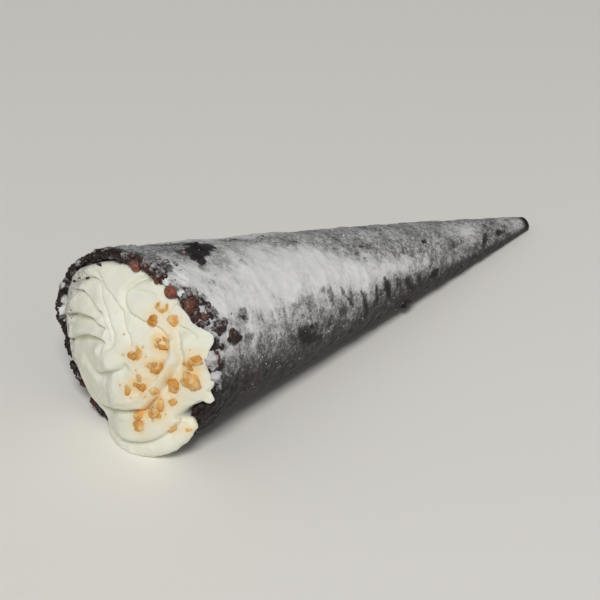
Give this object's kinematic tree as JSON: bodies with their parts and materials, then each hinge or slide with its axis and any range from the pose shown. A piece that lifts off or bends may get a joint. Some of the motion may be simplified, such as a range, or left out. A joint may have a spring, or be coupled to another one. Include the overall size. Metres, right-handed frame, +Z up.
{
  "type": "cream horn pastry",
  "caption": "Conical pastry horn with a dark sugar-dusted coating, lying on its side, filled with whipped cream piped as a rosette out of the mouth.",
  "frame": {"origin": "on the floor under the middle of the whole pastry's bounding box", "axes": "+Z up; X along the horn, the mouth looks towards -X and the tip points to +X; lies on the flattened underside of the horn"},
  "size_m": [0.1438, 0.0474, 0.0464],
  "materials": {
    "dark_coating": "dark chocolate coating over baked pastry, half matt, dusted with fine icing sugar on the upper side; stands in for food",
    "whipped_cream": "soft whipped dairy cream, satin, slightly translucent; stands in for food"
  },
  "bodies": {
    "root": {"horn": "dark_coating", "cream": "whipped_cream"}
  },
  "joints": []
}
